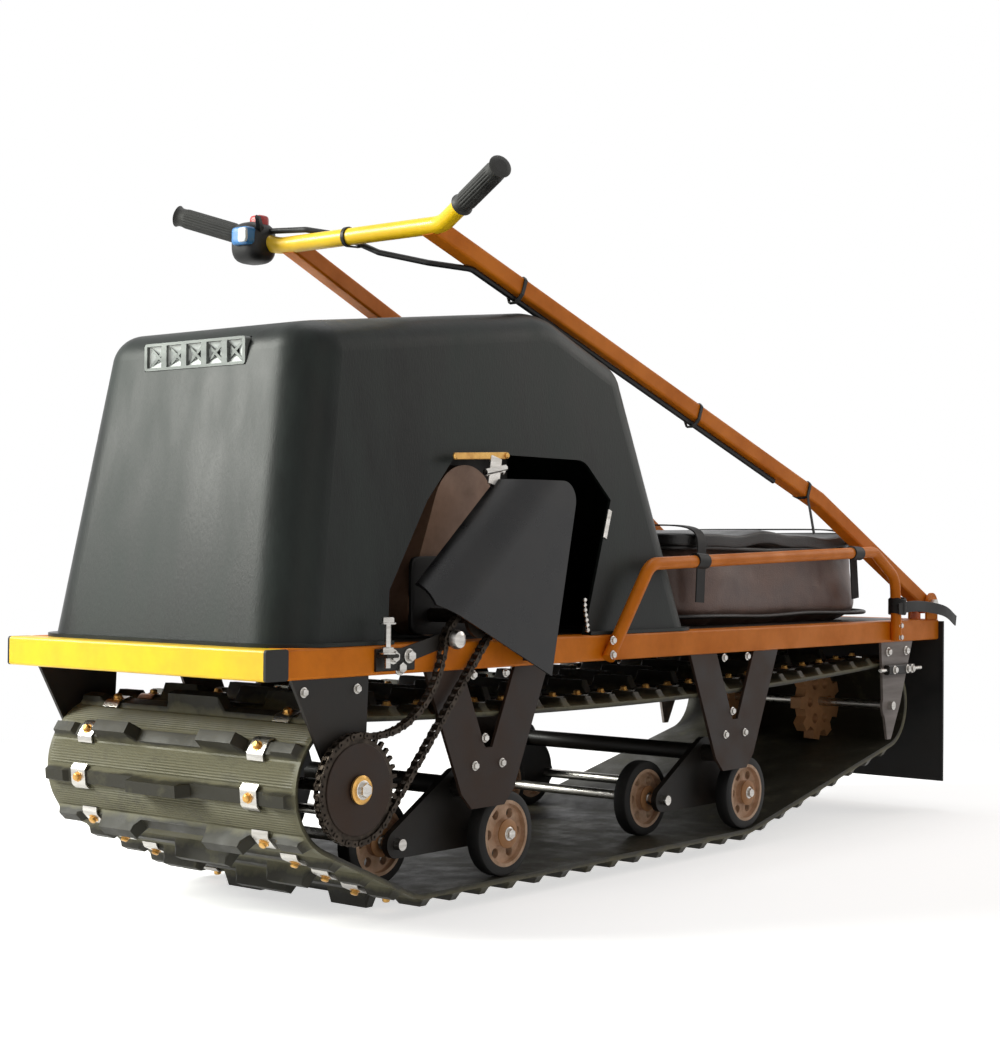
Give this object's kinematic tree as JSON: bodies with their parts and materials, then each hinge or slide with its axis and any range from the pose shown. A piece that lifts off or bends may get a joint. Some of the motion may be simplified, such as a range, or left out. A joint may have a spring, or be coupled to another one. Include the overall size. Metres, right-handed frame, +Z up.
{
  "type": "tracked snow tug",
  "caption": "Compact tracked snow tug with a wide lugged rubber track, black moulded hood, lamp bar, tool bag on the rear deck and a tow handlebar folded forward over the hood",
  "frame": {"origin": "on the ground under the middle of the overall box", "axes": "+X towards the nose, +Y to the machine's left, +Z up"},
  "size_m": [1.89, 0.6792, 1.0451],
  "materials": {
    "yellow_paint": "satin yellow paint",
    "orange_paint": "satin orange paint",
    "black_paint": "satin black paint",
    "brown_paint": "satin dark brown paint",
    "grey_paint": "satin grey paint",
    "guard_paint": "semi-gloss black paint",
    "black_plastic": "moulded black",
    "tan_plastic": "moulded tan",
    "hub_plastic": "moulded light tan",
    "hood_plastic": "rotomoulded black, lightly scuffed",
    "blue_plastic": "moulded pale blue",
    "red_plastic": "moulded red",
    "cable_sheath": "black sheath",
    "steel": "zinc plated",
    "chain_steel": "oiled dark steel",
    "engine_metal": "cast, dull",
    "case_metal": "brown lacquer",
    "lamp_aluminium": "bright cast",
    "lamp_glass": "clear",
    "bag_leatherette": "soft leatherette",
    "grip_rubber": "ribbed",
    "wheel_rubber": "moulded",
    "track_rubber": "moulded, dusty",
    "rubber_sheet": "flat sheet"
  },
  "bodies": {
    "chassis": {"nose_beam": "yellow_paint", "nose_caps": "black_plastic", "rail_left": "orange_paint", "rail_right": "orange_paint", "rear_beam": "orange_paint", "deck": "black_paint", "hitch_plate": "steel", "mudflap": "rubber_sheet", "track": "track_rubber", "drive_sprockets": "black_plastic", "idler_sprockets": "tan_plastic", "drive_axle": "steel", "idler_axle": "steel", "wheel_axles": "steel", "bogie_tubes": "black_paint", "chain": "chain_steel", "driven_sprocket": "chain_steel", "pinion": "chain_steel", "chain_tensioner": "steel", "belt_guard": "guard_paint", "hood": "hood_plastic", "engine": "engine_metal", "drive_case": "case_metal", "lamp_housing": "lamp_aluminium", "lamp_lenses": "lamp_glass", "tool_bag": "bag_leatherette", "guard_rail_left": "orange_paint", "guard_rail_right": "orange_paint", "wheel_tyres": "wheel_rubber", "wheel_hubs": "hub_plastic", "bogie_plates": "black_paint", "vee_plates": "brown_paint", "front_hangers": "black_paint", "rear_hangers": "grey_paint", "pivot_ears": "orange_paint", "pivot_bolts": "steel"},
    "handlebar": {"arm_left": "orange_paint", "arm_right": "orange_paint", "handlebar_tube": "yellow_paint", "grips": "grip_rubber", "control_housing": "black_plastic", "stop_button": "red_plastic", "switch_block": "blue_plastic", "throttle_lever": "black_plastic", "control_cable": "cable_sheath"}
  },
  "joints": [
    {"name": "handlebar_fold", "type": "hinge", "parent": "chassis", "child": "handlebar", "pos_m": [-0.86, 0, 0.406], "axis": [0, -1, 0], "range_deg": [0, 140]}
  ]
}
